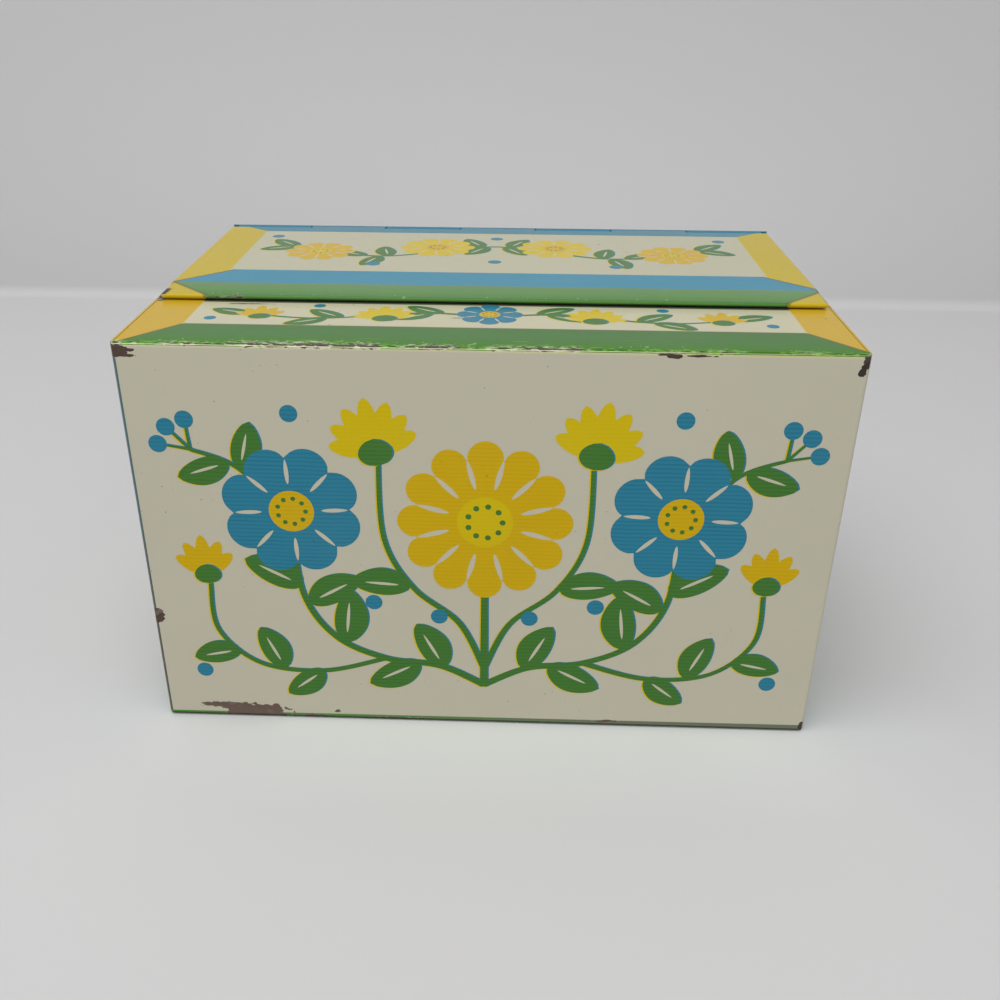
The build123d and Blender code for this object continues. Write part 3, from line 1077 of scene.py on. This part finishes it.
def set_lights(scene):
    """An even sky and two soft lamps that face the box."""
    stage = scene.tin_stage
    world = bpy.data.worlds.new("even_light")
    world.use_nodes = True
    sky = world.node_tree.nodes["Background"].inputs
    sky["Color"].default_value = (0.97, 0.98, 1.0, 1.0)
    sky["Strength"].default_value = stage.sky
    scene.world = world
    for name, place, share in (
        ("softbox_above", (-150.0, -225.0, 820.0), 1.0),
        ("softbox_front", (260.0, -950.0, 420.0), 0.30),
    ):
        lamp = bpy.data.lights.new(name, "AREA")
        lamp.shape = "SQUARE"
        lamp.size = 700.0 * MM
        lamp.energy = stage.softbox * share
        holder = bpy.data.objects.new(name, lamp)
        holder.location = Vector(place) * MM
        aim = Vector((0, 0, LEDGE / 2)) * MM - holder.location
        holder.rotation_euler = aim.to_track_quat("-Z", "Y").to_euler()
        scene.collection.objects.link(holder)


# ---- operators
class CARDBOX_OT_tin(bpy.types.Operator):
    """Print and wear the folded tinplate, and finish the hinge"""

    bl_idname = "cardbox.tin"
    bl_label = "Tinplate"

    def execute(self, context):
        colours = context.scene.tin_colours
        dress("body_wrap", body_material())
        dress("lid", lid_material())
        dress("back_panel", back_material())
        dress("bottom_plate", foot_material())
        dress("hinge_leaf", hinge_material())
        dress("hinge_wire", bare_material("drawn_wire", colours.wire, (0.08, 1.0, 1.0)))
        return {"FINISHED"}


class CARDBOX_OT_inks(bpy.types.Operator):
    """Mix the printing inks"""

    bl_idname = "cardbox.inks"
    bl_label = "Inks"

    def execute(self, context):
        colours = context.scene.tin_colours
        lines = {"blue": 0.5, "green": 0.45, "gold": 0.22, "yellow": 0.10, "cream": 0.0}
        for name, depth in lines.items():
            ink_material("ink_" + name, getattr(colours, name), depth)
        return {"FINISHED"}


class CARDBOX_OT_body_prints(bpy.types.Operator):
    """Print the front, the ledge, the sides and the back"""

    bl_idname = "cardbox.body_prints"
    bl_label = "Body prints"

    def execute(self, context):
        slip = context.scene.tin_print.slip
        up = (0, 0, 1)
        on_side = (LEDGE / 2, 20.0)
        on_back = (LEDGE / 2, 34.0)
        jobs = (
            ("front_print", Face((0, FRONT, 0), (1, 0, 0), up), draw_front, ()),
            ("ledge_print", Face((0, FRONT, LEDGE), (1, 0, 0), (0, 1, 0)), draw_ledge, ()),
            ("left_print", Face((-HALF_WIDTH, 0, 0), (0, -1, 0), up), draw_panel, on_side),
            ("right_print", Face((HALF_WIDTH, 0, 0), (0, 1, 0), up), draw_panel, on_side),
            ("back_print", Face((0, BACK, 0), (-1, 0, 0), up), draw_panel, on_back),
        )
        for name, face, draw, sizes in jobs:
            design = Design(slip)
            draw(design, *sizes)
            design.build(name, face, "box")
        return {"FINISHED"}


class CARDBOX_OT_lid_print(bpy.types.Operator):
    """Print the lid's garland"""

    bl_idname = "cardbox.lid_print"
    bl_label = "Lid print"

    def execute(self, context):
        design = Design(context.scene.tin_print.slip)
        draw_lid(design)
        design.build("lid_print", Face((0, FRONT, LID_TOP), (1, 0, 0), (0, 1, 0)), "lid")
        return {"FINISHED"}


class CARDBOX_OT_cards(bpy.types.Operator):
    """Finish the recipe cards and the tabbed guide cards"""

    bl_idname = "cardbox.cards"
    bl_label = "Cards"

    def execute(self, context):
        plain = card_material()
        sections = [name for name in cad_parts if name.startswith("recipe_cards_")]
        for number in range(1, len(sections) + 1):
            dress(f"recipe_cards_{number}", plain)
            dress(f"guide_card_{number}", guide_material(number))
        return {"FINISHED"}


class CARDBOX_OT_stage(bpy.types.Operator):
    """Set the camera, the lamps, the table and the wall"""

    bl_idname = "cardbox.stage"
    bl_label = "Stage"

    def execute(self, context):
        context.scene.view_settings.view_transform = "Standard"
        set_camera(context.scene)
        set_backdrop(context.scene)
        set_lights(context.scene)
        return {"FINISHED"}


class CARDBOX_PT_pieces(bpy.types.Panel):
    """The box's pieces, its settings and its stage"""

    bl_label = "Recipe Card Box"
    bl_space_type = "VIEW_3D"
    bl_region_type = "UI"
    bl_category = "Card Box"

    def draw(self, context):
        for step in STEPS:
            self.layout.operator(step.bl_idname)
        for name, group in SETTINGS:
            column = self.layout.column(align=True)
            for setting in group.__annotations__:
                column.prop(getattr(context.scene, name), setting)


SETTINGS = (
    ("tin_colours", TinColours),
    ("tin_print", PrintSizes),
    ("tin_wear", WearSizes),
    ("tin_stage", StageSizes),
)
STEPS = (
    CARDBOX_OT_stage,
    CARDBOX_OT_inks,
    CARDBOX_OT_tin,
    CARDBOX_OT_body_prints,
    CARDBOX_OT_lid_print,
    CARDBOX_OT_cards,
)


def register():
    """Registers the settings, the operators and the panel."""
    for name, group in SETTINGS:
        bpy.utils.register_class(group)
        setattr(bpy.types.Scene, name, PointerProperty(type=group))
    for step in (*STEPS, CARDBOX_PT_pieces):
        bpy.utils.register_class(step)


def unregister():
    """Takes them out again."""
    for step in (CARDBOX_PT_pieces, *reversed(STEPS)):
        bpy.utils.unregister_class(step)
    for name, group in reversed(SETTINGS):
        delattr(bpy.types.Scene, name)
        bpy.utils.unregister_class(group)


def main():
    """Makes everything in order."""
    register()
    for step in STEPS:
        family, name = step.bl_idname.split(".")
        getattr(getattr(bpy.ops, family), name)()


if __name__ == "__main__":
    main()
